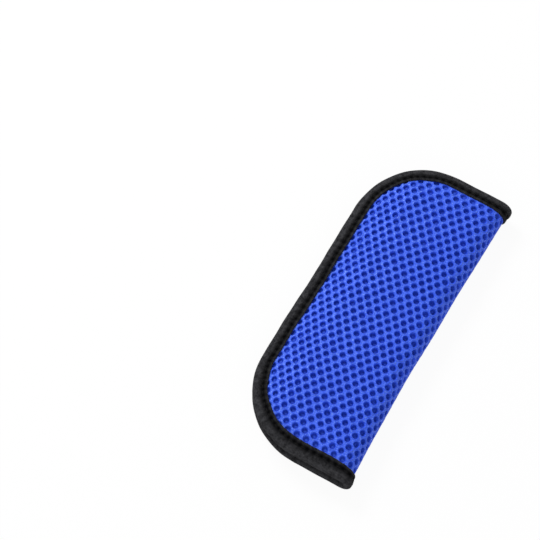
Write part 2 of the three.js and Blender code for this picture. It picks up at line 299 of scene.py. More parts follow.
class Finish:
    """A material, its node tree and the nodes' helper."""

    def __init__(self, name):
        self.material = bpy.data.materials.new(name)
        self.material.use_nodes = True
        self.tree = self.material.node_tree
        self.tree.nodes.clear()

    def node(self, kind, settings=None, inputs=None, out=0):
        """A node of a kind: its settings are set first, then each socket gets its value or link."""
        made = self.tree.nodes.new(kind)
        for key, value in (settings or {}).items():
            setattr(made, key, value)
        pairs = inputs.items() if isinstance(inputs, dict) else enumerate(inputs or [])
        for key, value in pairs:
            if isinstance(value, Number):
                self.tree.links.new(value.socket, made.inputs[key])
            elif isinstance(value, tuple) and len(value) == 3 and made.inputs[key].type == "RGBA":
                made.inputs[key].default_value = (*value, 1)
            else:
                made.inputs[key].default_value = value
        return Number(self, made.outputs[out]) if made.outputs else None

    def blend(self, factor, first, second):
        """Colour first where factor is 0, second where it is 1."""
        return self.node("ShaderNodeMix", {"data_type": "RGBA"}, {0: factor, 6: first, 7: second}, out=2)

    def flat_place(self):
        """The flat place of the surface, in millimetres: the vector, and its two numbers."""
        place = self.node("ShaderNodeUVMap", {"uv_map": "flat"})
        parts = self.node("ShaderNodeSeparateXYZ", None, [place]).socket.node.outputs
        return place, Number(self, parts[0]), Number(self, parts[1])

    def noise(self, vector, scale, detail=3.0, roughness=0.55):
        return self.node("ShaderNodeTexNoise", None,
                         {"Vector": vector, "Scale": scale, "Detail": detail, "Roughness": roughness})

    def bump(self, height, distance, strength):
        return self.node("ShaderNodeBump", None,
                         {"Height": height, "Distance": distance, "Strength": strength})

    def cloth(self, colour, roughness, normal, sheen=0.0, sheen_roughness=0.4, tint=(1, 1, 1),
              specular=0.3):
        """The material of a cloth. What is the same all over it stays on the shader's own sockets."""
        shader = self.node("ShaderNodeBsdfPrincipled", None, {
            "Base Color": colour, "Roughness": roughness, "Normal": normal, "Sheen Weight": sheen,
            "Sheen Roughness": sheen_roughness, "Sheen Tint": tint, "Specular IOR Level": specular})
        self.node("ShaderNodeOutputMaterial", None, [shader])
        return self.material


def srgb(*values):
    """A colour given in 0 to 255 as the linear numbers that a shader wants."""
    return tuple(v / 255 / 12.92 if v <= 10 else ((v / 255 + 0.055) / 1.055) ** 2.4 for v in values)


print("linear value of a middle grey:", round(srgb(128)[0], 3))

# %% [markdown]
# ## The blue yarn of the air mesh
# Air mesh is knitted from smooth yarn. Its colour gets a painted highlight on the ridges between its
# openings, a ring of painted shade round each opening, and painted shade on the floor of each opening
# towards its wall. The openings themselves are real, so the material only has to know how far a place
# is from the nearest one. They are staggered like bricks, which makes two plain lattices, one of them
# shifted by half a pitch both ways, and the nearer opening of the two counts.

# %% How far the nearest opening is
PITCH_ACROSS, PITCH_ALONG = 4.75, 6.4
mesh_finish = Finish("blue_air_mesh")
place, across, along = mesh_finish.flat_place()
column = (across - FOLD_LINE) / PITCH_ACROSS
row = along / PITCH_ALONG


def reach_to_opening(column, row):
    """The distance to the nearest opening of one plain lattice, in millimetres."""
    dx = column.fraction_from_middle() * PITCH_ACROSS
    dy = row.fraction_from_middle() * PITCH_ALONG
    return (dx * dx + dy * dy).math("SQRT")


near_hole = reach_to_opening(column, row).math("MINIMUM", reach_to_opening(column + 0.5, row + 0.5))
print(f"openings every {math.hypot(PITCH_ACROSS, PITCH_ALONG) / 2:.2f} mm along the slanted rows")

# %% The finish of the air mesh
OPENING_EDGE, SHADED_EDGE, RIDGE = (1.2, 1.5), (1.45, 1.85), (1.62, 2.0)
KNIT_LOOP_ACROSS, KNIT_LOOP_ALONG = 1.19, 1.07
GLINT_FROM_FOLD = (20, 58)
cloudy = mesh_finish.noise(place, 0.09, 2.0)
fibres = mesh_finish.noise(place, 2.2, 3.0, 0.6)
specks = mesh_finish.noise(place, 1.1, 3.0, 0.7).between(0.5, 0.68)
loops_across = (across * (TURN / KNIT_LOOP_ACROSS)).math("SINE")
loops_along = (along * (TURN / KNIT_LOOP_ALONG) + loops_across * 0.9).math("SINE")
knit = loops_across * loops_along * 0.5 + 0.5
ridge = near_hole.between(*RIDGE)
yarn = mesh_finish.blend(knit * 0.6 + fibres * 0.4, srgb(30, 64, 214), srgb(74, 118, 255))
# painted highlight: bright speckled streaks on the ridges between openings, stronger towards the open
# edges, where the light grazes
open_edge_glint = (across - FOLD_LINE).math("ABSOLUTE").between(*GLINT_FROM_FOLD) * 0.5 + 0.6
yarn = mesh_finish.blend(ridge * open_edge_glint * (specks * 0.8 + 0.08), yarn, srgb(136, 172, 255))
# painted shade: a darker ring of yarn round each opening
yarn = mesh_finish.blend((1 - near_hole.between(*SHADED_EDGE)) * 0.25, yarn, srgb(34, 66, 196))
yarn = mesh_finish.blend((cloudy - 0.5).math("ABSOLUTE") * 0.5, yarn, srgb(34, 62, 198))
# painted shade: the floor of each opening is lighter in its middle and darker towards its wall; the fibre
# noise adds its own tone
floor_shade = near_hole.between(0.1, 0.7) * 0.7 + fibres * 0.3
floor_colour = mesh_finish.blend(floor_shade, srgb(52, 92, 212), srgb(20, 56, 180))
colour = mesh_finish.blend(near_hole.between(*OPENING_EDGE), floor_colour, yarn)
relief = mesh_finish.bump(knit * 0.9 + fibres * 0.6 + specks * 0.3, 0.00022, 0.8)
air_mesh_finish = mesh_finish.cloth(colour, 0.5 - ridge * 0.12, relief, sheen=0.02, sheen_roughness=0.35,
                                    tint=(0.6, 0.75, 1.0), specular=0.2)
print("nodes in the finish of the air mesh:", len(mesh_finish.tree.nodes))

# %% [markdown]
# ## The openings of the air mesh
# Fine threads under the face of air mesh hold it off its back. A shader alone could paint the
# openings, but they would look printed from the side, and cutting them with a boolean would be slow
# and ragged. So each opening is real: a small tile with a sunk floor, a steep wall and a raised rim of
# yarn, repeated over the panel. Neighbouring tiles share their border points.

# %% The staggered lattice
KNIT_EASE, DRAWN_IN, DRAWN_IN_PERIOD = 0.95, 0.735, 66
OUTERMOST_OPENING = 4.6


def drawn_in(s):
    """Where a place of the even knit lies once it is sewn. The mesh is drawn in a little over the
    fold and beside the tape, so its openings sit closer there. With u the distance from the fold
    line, it is ease u - drawn in sin(2 pi u / period)."""
    u = s - FOLD_LINE
    return FOLD_LINE + KNIT_EASE * u - DRAWN_IN * np.sin(2 * math.pi * u / DRAWN_IN_PERIOD)


def staggered_holes(least_inset):
    """The places (i, j) of a staggered lattice, with i + j even, that lie well inside the outline."""
    far_i, far_j = math.ceil(FLAT_WIDTH / PITCH_ACROSS) + 1, math.ceil(PAD_LENGTH / PITCH_ALONG) + 1
    i, j = np.meshgrid(np.arange(-far_i, far_i + 1), np.arange(-far_j, far_j + 1), indexing="ij")
    s, v = FOLD_LINE + i * PITCH_ACROSS / 2, j * PITCH_ALONG / 2
    keep = ((i + j) % 2 == 0) & (inset_of(drawn_in(s), v) > least_inset)
    return np.stack([i[keep], j[keep]], axis=-1)


holes = staggered_holes(OUTERMOST_OPENING)
print("openings in the air mesh:", len(holes))

# %% Borders that neighbouring tiles share
NEIGHBOURS = np.array([[2, 0], [1, 1], [-1, 1], [-2, 0], [-1, -1], [1, -1]])
AROUND = 2 * len(NEIGHBOURS)


def shared_borders(holes):
    """The border points (n, 2), each tile's twelve of them, and the way out to each of the twelve. A
    border is a six-sided cell whose corners are the middles of the lattice's triangles. In sixths of
    a lattice step they are whole numbers, so neighbouring cells find the same points."""
    corners = 2 * (NEIGHBOURS + np.roll(NEIGHBOURS, -1, axis=0))
    middles = (corners + np.roll(corners, 1, axis=0)) // 2
    border_steps = np.stack([middles, corners], axis=1).reshape(AROUND, 2)
    keys = (6 * holes[:, None, :] + border_steps[None]).reshape(-1, 2)
    border, border_of = np.unique(keys, axis=0, return_inverse=True)
    unit = np.array([PITCH_ACROSS, PITCH_ALONG]) / 12
    way = border_steps * unit
    way = way / np.linalg.norm(way, axis=1, keepdims=True)
    return border * unit + [FOLD_LINE, 0], border_of.reshape(len(holes), AROUND), way


print("shared border points:", len(shared_borders(holes)[0]))

# %% One tile for each opening
HOLE_RADIUS, FLOOR_DEPTH, BORDER_DEPTH = 1.42, 1.85, 0.14
SIZE_SPREAD, RADIUS_SPREAD, DRIFT_SPREAD, HEIGHT_SPREAD = 0.035, 0.03, 0.07, 0.03
RING_SHARES_AND_HEIGHTS = [[0.42, -1.80], [0.84, -1.72], [1.0, -0.42], [1.16, 0.10], [1.42, 0.05]]


def mesh_tiles(holes):
    """One skin of tiles: flat points, their heights over the cloth, triangles, and each tile's
    border. Inside its border a tile has rings of twelve points that shrink to the opening, each at
    centre + way * radius, a little uneven, and one point in the middle of its floor."""
    rng = np.random.default_rng(4)
    rings = np.array(RING_SHARES_AND_HEIGHTS)
    border_place, border_of, way = shared_borders(holes)
    centre = holes * np.array([PITCH_ACROSS, PITCH_ALONG]) / 2 + [FOLD_LINE, 0]
    size = HOLE_RADIUS * rng.normal(1, SIZE_SPREAD, len(holes))
    drift = rng.normal(0, DRIFT_SPREAD, (len(holes), 2))
    uneven = rng.normal(1, RADIUS_SPREAD, (len(holes), AROUND))
    radius = size[:, None, None] * rings[None, :, None, 0] * uneven[:, None, :]
    ring_place = (centre + drift)[:, None, None, :] + radius[..., None] * way[None, None]
    ring_height = rings[None, :, None, 1] + rng.normal(0, HEIGHT_SPREAD, radius.shape)
    border_height = rng.normal(-BORDER_DEPTH, HEIGHT_SPREAD, len(border_place))
    places = np.concatenate([border_place, centre + drift, ring_place.reshape(-1, 2)])
    heights = np.concatenate([border_height, np.full(len(holes), -FLOOR_DEPTH), ring_height.ravel()])
    middle = len(border_place) + np.arange(len(holes))
    ring_of = len(border_place) + len(holes) + np.arange(radius.size).reshape(radius.shape)
    loops = np.concatenate([ring_of, border_of[:, None, :]], axis=1)
    turned = np.roll(loops, -1, axis=2)
    quads = np.stack([loops[:, :-1], loops[:, 1:], turned[:, 1:], turned[:, :-1]], axis=-1).reshape(-1, 4)
    hub = np.broadcast_to(middle[:, None], (len(holes), AROUND))
    fans = np.stack([hub, loops[:, 0], turned[:, 0]], axis=-1)
    face = np.concatenate([quads[:, [0, 1, 2]], quads[:, [0, 2, 3]], fans.reshape(-1, 3)])
    return places, heights, face, border_of


tiles = mesh_tiles(holes)
print("triangles in the face of the air mesh:", len(tiles[2]))

# %% The back of the mesh, and the piece
BACK_CLEARANCE, LEAST_RELIEF = 0.02, 0.2


def closed_skin(places, heights, face, border_of):
    """Adds the back of the skin, and a wall on the edges of the border that only one tile has.
    Heights shrink with the thickness of the mesh, where the tape squeezes it."""
    mesh_in, mesh_out = layer_faces(drawn_in(places[:, 0]), places[:, 1])["mesh"]
    front = mesh_out + heights * np.clip((mesh_out - mesh_in) / MESH, LEAST_RELIEF, 1)
    count = len(places)
    border_count = border_of.max() + 1
    back_of = np.concatenate([np.arange(border_count), border_count + np.arange(len(border_of))])
    back_rho = mesh_in[back_of] + BACK_CLEARANCE
    hub = count + border_count + np.arange(len(border_of))
    back_rim = border_of + count
    back = np.stack([np.broadcast_to(hub[:, None], back_rim.shape), np.roll(back_rim, -1, 1), back_rim], -1)
    edges = np.stack([border_of, np.roll(border_of, -1, axis=1)], axis=-1).reshape(-1, 2)
    code = np.sort(edges, axis=1) @ np.array([10 ** 6, 1])
    _, index, times = np.unique(code, return_index=True, return_counts=True)
    first, second = edges[index[times == 1]].T
    wall = np.concatenate([np.stack([second, first, first + count], -1),
                           np.stack([second, first + count, second + count], -1)])
    all_places = np.concatenate([places, places[back_of]])
    return all_places, np.concatenate([front, back_rho]), np.concatenate([face, back.reshape(-1, 3), wall])


places, rho, faces = closed_skin(*tiles)
air_mesh = make_piece("air_mesh", fold(drawn_in(places[:, 0]), places[:, 1], rho), faces[:, ::-1], places,
                      air_mesh_finish)
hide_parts("mesh_cover")

# %% [markdown]
# ## Foam and lining
# The foam only shows as fullness, and the lining shows down the tunnel. Both could be one surface
# with a Solidify modifier, but their thickness changes from the tape to the middle. So both are thin
# closed sheets between two faces of the same panel, and one function makes them.

# %% Sheets between two faces
CORNER_COLUMNS = 14


def sheet_grid(step):
    """Flat places (s, v) of a sheet cut along the roll of the tape: columns at even steps across, and
    rows at even shares of the half length there, half length - R + sqrt((R - roll)^2 - past^2)."""
    cut_radius = CORNER_RADIUS - TAPE_ROLL
    corner = CORNER_RADIUS - cut_radius * np.cos(np.linspace(0, math.pi / 2, CORNER_COLUMNS))
    flat = np.arange(CORNER_RADIUS + step, FLAT_WIDTH - CORNER_RADIUS, step)
    s = np.concatenate([corner, flat, (FLAT_WIDTH - corner)[::-1]])
    past = np.maximum(0, CORNER_RADIUS - np.minimum(s, FLAT_WIDTH - s))
    reach = HALF_LENGTH - CORNER_RADIUS + np.sqrt(np.maximum(0, cut_radius ** 2 - past ** 2))
    share = np.linspace(-1, 1, int(PAD_LENGTH / step))
    return np.repeat(s[:, None], len(share), axis=1), share[None, :] * reach[:, None]


def make_sheet(name, s, v, inner, outer, finish):
    """A closed sheet between the distances inner and outer over a grid of flat places."""
    flat = np.tile(np.stack([s.ravel(), v.ravel()], axis=-1), (2, 1))
    rho = np.concatenate([inner.ravel(), outer.ravel()])
    return make_piece(name, fold(flat[:, 0], flat[:, 1], rho), sheet_faces(*s.shape), flat, finish)


def ripple(s, v):
    """Shallow creases of a loose cloth, the sum of three slow waves."""
    return (np.sin(s / 5.1 + v / 19) + 0.7 * np.sin(v / 6.3 - s / 23) + 0.5 * np.sin(s / 3.1 - v / 11)) / 2


print("points of a coarse sheet, across and along:", sheet_grid(5.0)[0].shape)

# %% The lining
WALE_PITCH, COURSE_PITCH = 0.9, 0.7
LINING_STEP, LINING_CREASE, LINING_BACK_CLEARANCE = 1.6, 0.04, 0.05
lining_knit = Finish("black_lining_knit")
place, across, along = lining_knit.flat_place()
wales = (across * (TURN / WALE_PITCH)).stripes()
courses = (along * (TURN / COURSE_PITCH) + wales * 2.0).stripes()
fuzz = lining_knit.noise(place, 1.6, 4.0)
colour = lining_knit.blend(wales * courses * 0.5 + fuzz * 0.5, srgb(15, 15, 18), srgb(44, 44, 49))
relief = lining_knit.bump(wales * courses + fuzz * 0.5, 0.00012, 0.6)
lining_finish = lining_knit.cloth(colour, 0.8 + fuzz * 0.15, relief, sheen=0.15)

s, v = sheet_grid(LINING_STEP)
inner, outer = layer_faces(s, v)["lining"]
lining = make_sheet("lining", s, v, inner + LINING_CREASE * ripple(s, v), outer - LINING_BACK_CLEARANCE,
                    lining_finish)
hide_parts("inner_lining")

# %% The foam
FOAM_STEP, FOAM_CLEARANCE = 2.4, 0.02
foam_cells = Finish("pale_open_foam")
place = foam_cells.flat_place()[0]
cells = foam_cells.node("ShaderNodeTexVoronoi", {"feature": "F1"}, {"Vector": place, "Scale": 1.4})
# painted shade: each foam cell is darker in its middle, where the bump sinks into a pore
colour = foam_cells.blend(cells.between(0.1, 0.7), srgb(170, 166, 150), srgb(232, 228, 214))
foam_finish = foam_cells.cloth(colour, 0.85 + cells * 0.1, foam_cells.bump(cells, 0.0003, 0.8))

s, v = sheet_grid(FOAM_STEP)
inner, outer = layer_faces(s, v)["foam"]
foam = make_sheet("foam_sheet", s, v, inner + FOAM_CLEARANCE, outer - FOAM_CLEARANCE, foam_finish)
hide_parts("foam_filling")

# %% [markdown]
# ## Edge tape
# The tape is one strip, folded over the edge of the panel and sewn through. A curve with a bevel
# could carry a section, but it would not lie on a panel that changes its thickness. So the section is
# a U worked out point by point along the rounded outline. It is not perfect: it dips at the seam, its
# free edges wander a little, it gathers in small puckers, and its end laps over its start.

# %% The outline as a path
SIDES = [2 * (FOLD_LINE - CORNER_RADIUS), 2 * (HALF_LENGTH - CORNER_RADIUS)] * 2
QUARTER = math.pi / 2 * CORNER_RADIUS
OUTLINE_LENGTH = sum(SIDES) + 4 * QUARTER


def along_outline(distance):
    """The point of the outline at a distance round it, starting at the near end of the lower half,
    and the way in from it: straight sides and quarter circles in turn."""
    distance = np.mod(distance, OUTLINE_LENGTH)
    flat, far = FOLD_LINE - CORNER_RADIUS, HALF_LENGTH - CORNER_RADIUS
    left, right = FOLD_LINE - flat, FOLD_LINE + flat
    side_starts = [(left, -HALF_LENGTH), (FLAT_WIDTH, -far), (right, HALF_LENGTH), (0.0, far)]
    centres = [(right, -far), (right, far), (left, far), (left, -far)]
    s, v, way_s, way_v = (np.zeros_like(distance) for _ in range(4))
    start = 0.0
    for k in range(4):
        heading = k * math.pi / 2
        on_side = (distance >= start) & (distance <= start + SIDES[k])
        step = distance - start
        s = np.where(on_side, side_starts[k][0] + step * math.cos(heading), s)
        v = np.where(on_side, side_starts[k][1] + step * math.sin(heading), v)
        way_s = np.where(on_side, -math.sin(heading), way_s)
        way_v = np.where(on_side, math.cos(heading), way_v)
        start += SIDES[k]
        on_arc = (distance > start) & (distance <= start + QUARTER)
        angle = heading - math.pi / 2 + (distance - start) / CORNER_RADIUS
        s = np.where(on_arc, centres[k][0] + CORNER_RADIUS * np.cos(angle), s)
        v = np.where(on_arc, centres[k][1] + CORNER_RADIUS * np.sin(angle), v)
        way_s = np.where(on_arc, -np.cos(angle), way_s)
        way_v = np.where(on_arc, -np.sin(angle), way_v)
        start += QUARTER
    return s, v, way_s, way_v


print(f"tape length round the outline {OUTLINE_LENGTH:.0f} mm")

# %% How the tape lies
STITCHES = 150
STITCH_PITCH = OUTLINE_LENGTH / STITCHES
SEAM_ACROSS = 2.4
SEAM_INSET = BINDING_WIDTH - SEAM_ACROSS
SEAM_DIP, NEEDLE_DIP, SEAM_SPREAD = 0.3, 0.12, 0.7
TAPE_SWELL, TAPE_GATHER, GATHER_INSET, GATHER_SPREAD = 0.22, 0.09, 4.6, 1.8
WANDER, FINE_WANDER, WANDER_UPWARDS = 0.07, 0.05, 0.4
LAP_LENGTH, LAP_THICKNESS, LAP_PLACE, LAP_RISE, LAP_FALL = 14.0, 0.5, 12.0, 0.35, 0.9
LAP_AT = SIDES[0] + QUARTER + (HALF_LENGTH - CORNER_RADIUS) + LAP_PLACE
LAP_START, LAP_END = LAP_AT - LAP_LENGTH / 2, LAP_AT + LAP_LENGTH / 2


def tape_face(distance, inset, side):
    """How far out the tape's outer surface lies, at a distance round the outline and an inset from
    it, on the outer (1) or inner (0) side: the layer below, plus the tape, less the dip of the seam.
    The inner side, pressed on the belt, is half as uneven."""
    s, v, way_s, way_v = along_outline(distance)
    layers = layer_faces(s + way_s * inset, v + way_v * inset)
    base = layers["mesh"][1] + STAND_OFF if side else layers["lining"][0] - STAND_OFF
    depth = SEAM_DIP + NEEDLE_DIP * np.cos(2 * math.pi * distance / STITCH_PITCH)
    dip = np.exp(-((inset - SEAM_INSET) / SEAM_SPREAD) ** 2) * depth
    share = np.clip((inset - TAPE_ROLL) / (SEAM_INSET - TAPE_ROLL), 0, 1)
    swollen = TAPE_SWELL * np.sin(math.pi * share)
    pucker = np.sin(distance / 0.9 + 2 * np.sin(distance / 5.7))
    gathered = TAPE_GATHER * pucker * np.exp(-((inset - GATHER_INSET) / GATHER_SPREAD) ** 2)
    wander = WANDER * np.sin(distance / 6.1 + 1.3) + FINE_WANDER * np.sin(distance / 2.7)
    lap = LAP_THICKNESS * (ramp(distance, LAP_START - LAP_RISE, LAP_START)
                           - ramp(distance, LAP_END, LAP_END + LAP_FALL))
    out = -dip + swollen + gathered + wander * WANDER_UPWARDS + lap
    return base + out if side else base - 0.5 * out


across_tape = np.array([TAPE_ROLL, SEAM_INSET, BINDING_WIDTH])
print("tape height at its roll, seam and edge, mm:", tape_face(np.zeros(3), across_tape, 1).round(2))

# %% The section of the tape
LEG_POINTS, ROLL_POINTS, UNDER_POINTS = 13, 13, 5
FREE_EDGE_DIP, FREE_EDGE_FROM, UNDERSIDE_LIFT, UNDERSIDE_SETBACK = 0.25, 0.93, 0.12, 0.02
EDGE_WANDER, FINE_EDGE_WANDER, STITCH_PULL, ROLL_WANDER = 0.1, 0.12, 0.06, 0.05


def tape_section(distance):
    """The closed section at each distance, as insets and heights (n, k): out along the outer leg,
    round the roll on a half ellipse, back along the inner leg, and the same again inside."""
    d = distance[:, None]
    leg = np.linspace(1, 0, LEG_POINTS)[None, :]
    pulled = STITCH_PULL * np.cos(2 * math.pi * d / STITCH_PITCH)
    tip = BINDING_WIDTH + FINE_EDGE_WANDER * np.sin(d / 3.3) + EDGE_WANDER * np.sin(d / 7.9 + 1) + pulled
    leg_inset = TAPE_ROLL + (tip - TAPE_ROLL) * leg
    edge = FREE_EDGE_DIP * ramp(leg, FREE_EDGE_FROM, 1)
    outer_leg = tape_face(d, leg_inset, 1) - edge
    inner_leg = tape_face(d, leg_inset, 0) + edge
    top, bottom = outer_leg[:, -1:], inner_leg[:, -1:]
    turn = np.linspace(0, math.pi, ROLL_POINTS)[None, 1:-1]
    middle, half = (top + bottom) / 2, (top - bottom) / 2
    roll_inset = TAPE_ROLL * (1 - np.sin(turn)) * np.ones_like(d) + ROLL_WANDER * np.sin(d / 2.3)
    roll = middle + half * np.cos(turn)
    under_inset = TAPE_ROLL + (tip - TAPE_ROLL) * np.linspace(0, 1, UNDER_POINTS)[None, :]
    s, v, way_s, way_v = along_outline(d)
    below = layer_faces(s + way_s * under_inset, v + way_v * under_inset)
    inner_top = below["mesh"][1] + UNDERSIDE_LIFT
    inner_bottom = below["lining"][0] - UNDERSIDE_LIFT
    under_inset = under_inset - UNDERSIDE_SETBACK
    inset = np.concatenate([leg_inset, roll_inset, leg_inset[:, ::-1], under_inset[:, ::-1],
                            np.full_like(d, TAPE), np.full_like(d, TAPE), under_inset], axis=1)
    height = np.concatenate([outer_leg, roll, inner_leg[:, ::-1], inner_bottom[:, ::-1],
                             middle - half * 0.5, middle + half * 0.5, inner_top], axis=1)
    return inset, height


print("points in the section of the tape:", tape_section(np.array([0.0]))[0].shape[1])

# %% [markdown]
# ## The black cloth of the tape
# Woven tape has fine ribs across it. Its colour has painted shade, darkest in the groove of the seam
# and at each needle hole, and a painted highlight, greyer where the tape stands proud towards its
# roll. Its mottle is partly the cloth's own tone and partly painted light and shade on small wrinkles
# and puckers. The seam lies at a known distance across the tape, so two smooth steps and a wave at the
# stitch pitch put the painted shade of the groove where the shape has it.

# %% The finish of the tape
RIB_PITCH, PICK_PITCH = 0.62, 0.5
tape_cloth = Finish("black_woven_tape")
place, across, along = tape_cloth.flat_place()
rib = (along * (TURN / RIB_PITCH)).stripes()
pick = (across * (TURN / PICK_PITCH) + (along * (math.pi / RIB_PITCH)).math("SINE") * 2.4).stripes()
nap = tape_cloth.noise(place, 0.9, 4.0, 0.7)
patches = tape_cloth.noise(place, 0.3, 3.0, 0.6)
weave = rib * 0.55 + pick * 0.45
# painted light across the tape: painted shade darkest in the groove of the seam, a lighter lip by the mesh,
# and a painted highlight rising towards the roll
painted_highlight_to_roll = across.between(SEAM_ACROSS + 0.1, SEAM_ACROSS + 3.4)
painted_light_on_lip = 1 - across.between(0.3, SEAM_ACROSS - 0.3)
# a mottle: the weave is the cloth's own pattern, while the nap and patch noise are partly its own tone and
# partly painted light and shade on small wrinkles and puckers
weave_and_painted_light = weave * 0.2 + nap.between(0.4, 0.6) * 0.4 + patches.between(0.4, 0.6) * 0.4
# painted shade in each needle hole, where the seam dips deepest
needle_hole_shade = (along * (TURN / STITCH_PITCH)).math("COSINE") * 0.5 + 0.5
weave_and_painted_light = (weave_and_painted_light * 0.8 + 0.2) * (painted_highlight_to_roll + painted_light_on_lip * 0.6 + (1 - needle_hole_shade) * 0.2 + 0.02)
colour = tape_cloth.blend(weave_and_painted_light, srgb(0, 0, 1), srgb(66, 66, 69))
tape_relief = tape_cloth.bump(weave * 0.4 + nap * 1.6 + patches * 1.2, 0.0006, 0.9)
tape_finish = tape_cloth.cloth(colour, 0.5 + nap * 0.3, tape_relief, specular=0.03)
print("nodes in the finish of the tape:", len(tape_cloth.tree.nodes))

# %% The tape itself
TAPE_STEPS = 700
distance = np.linspace(0, OUTLINE_LENGTH, TAPE_STEPS, endpoint=False)[:, None]
inset, height = tape_section(distance[:, 0])
s, v, way_s, way_v = along_outline(distance)
points = fold(s + way_s * inset, v + way_v * inset, height)
steps = np.hypot(np.diff(inset, axis=1, prepend=inset[:, :1]),
                 np.diff(height, axis=1, prepend=height[:, :1]))
flat = np.stack(np.broadcast_arrays(np.cumsum(steps, axis=1), distance), axis=-1)
tape = make_piece("edge_tape", points.reshape(-1, 3), grid_faces(*inset.shape, True, True),
                  flat.reshape(-1, 2), tape_finish)
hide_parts("edge_binding")

# %% [markdown]
# ## Stitches
# The seam is a lockstitch. Each stitch is a short thread that rises from one needle hole and sinks
# into the next. A picture of thread would look flat from the side, so one small tube, bent to an
# arch, is repeated down the seam on both faces.

# %% Stitches along the tape
THREAD_RADIUS, STITCH_RISE, STITCH_SINK, STITCH_SHARE = 0.24, 0.2, 0.12, 0.74
STITCH_SLANT, STITCH_STRAY = 0.12, 0.05
STITCH_RINGS, STITCH_SIDES = 7, 6


def stitch_row(side):
    """Tubes of seven rings of six points. Along a stitch the height is rise sin(pi t) - sink, and the
    radius grows as sqrt(sin(pi t)) from a point at each end."""
    t = np.linspace(0, 1, STITCH_RINGS)[None, :, None]
    angle = np.linspace(0, 2 * math.pi, STITCH_SIDES, endpoint=False)[None, None, :]
    start = (np.arange(STITCHES) * OUTLINE_LENGTH / STITCHES)[:, None, None]
    radius = THREAD_RADIUS * np.sqrt(np.sin(math.pi * np.clip(t, 0.02, 0.98)))
    d = start + STITCH_PITCH * (0.5 + STITCH_SHARE * (t - 0.5)) + 0 * angle
    inset = (SEAM_INSET + radius * np.cos(angle) + STITCH_SLANT * (t - 0.5)
             + STITCH_STRAY * np.sin(start * 1.7))
    lift = STITCH_RISE * np.sin(math.pi * t) - STITCH_SINK + radius * np.sin(angle)
    surface = tape_face(d, SEAM_INSET + 0 * inset, side)
    height = surface + lift if side else surface - lift
    s, v, way_s, way_v = along_outline(d)
    points = fold(s + way_s * inset, v + way_v * inset, height)
    tube = grid_faces(STITCH_RINGS, STITCH_SIDES, False, True)
    cap = np.array([[0, 1, 2, 3], [0, 3, 4, 5]])
    last_ring = (STITCH_RINGS - 1) * STITCH_SIDES
    one = np.concatenate([tube, cap, cap[:, ::-1] + last_ring])
    if not side:
        one = one[:, ::-1]
    faces = (one[None] + STITCH_RINGS * STITCH_SIDES * np.arange(STITCHES)[:, None, None]).reshape(-1, 4)
    flat = np.stack(np.broadcast_arrays(d, inset), axis=-1)
    return points.reshape(-1, 3), faces, flat.reshape(-1, 2)


thread = Finish("black_sewing_thread")
place, across, along = thread.flat_place()
twist = ((across + along * 0.6) * (TURN / 0.5)).stripes()
colour = thread.blend(twist, srgb(3, 3, 3), srgb(26, 26, 26))
thread_finish = thread.cloth(colour, 0.6 + twist * 0.1, thread.bump(twist, 0.00008, 0.7), specular=0.12)
outer, inner = stitch_row(1), stitch_row(0)
make_piece("stitches", np.concatenate([outer[0], inner[0]]),
           np.concatenate([outer[1], inner[1] + len(outer[0])]),
           np.concatenate([outer[2], inner[2]]), thread_finish)

# %% [markdown]
# ## Hook and loop strips
# Each strip is a woven base with either stiff hooks or soft loops. They face each other by the open
# edge and show only as a dark fuzz between the halves. Hair particles would be lost in the export, so
# small arches and hooks are made as tubes with only a few sides.

# %% The base of a strip
STRIP_ROWS, STRIP_COLUMNS = 3, 28
STRIP_BASE, STRIP_BACK_SHARE = 0.35, 0.3


def strip_base(near, far):
    """A thin closed sheet that lies on the lining of its half, between the flat places near and far."""
    s, v = np.meshgrid(np.linspace(near, far, STRIP_ROWS),
                       np.linspace(-STRIP_HALF_LENGTH, STRIP_HALF_LENGTH, STRIP_COLUMNS), indexing="ij")
    gap = half_gap(s, v)
    back, front = gap - CLEARANCE * STRIP_BACK_SHARE, gap - CLEARANCE - STRIP_BASE
    sides = [fold(s, v, rho).reshape(-1, 3) for rho in (back, front)]
    flat = np.tile(np.stack([s, v], -1).reshape(-1, 2), (2, 1))
    return np.concatenate(sides), sheet_faces(STRIP_ROWS, STRIP_COLUMNS)[:, ::-1], flat


print("points in the base of a strip:", len(strip_base(STRIP_START, STRIP_END)[0]))

# %% Hooks and loops
HAIR_REACH, HAIR_RADIUS, HAIR_HEIGHT, HAIR_ROOT = 0.34, 0.09, 0.62, 0.3
HAIR_ROW_PITCH, HAIR_PITCH, HAIR_SCATTER = 1.05, 1.25, 0.12
HEIGHT_UNEVEN, MOST_TURNED = 0.05, 0.5
HAIRS_FROM_EDGES, HAIRS_FROM_ENDS = (0.9, 0.6), (1, 0.9)
HAIR_RINGS, HAIR_SIDES = 6, 4


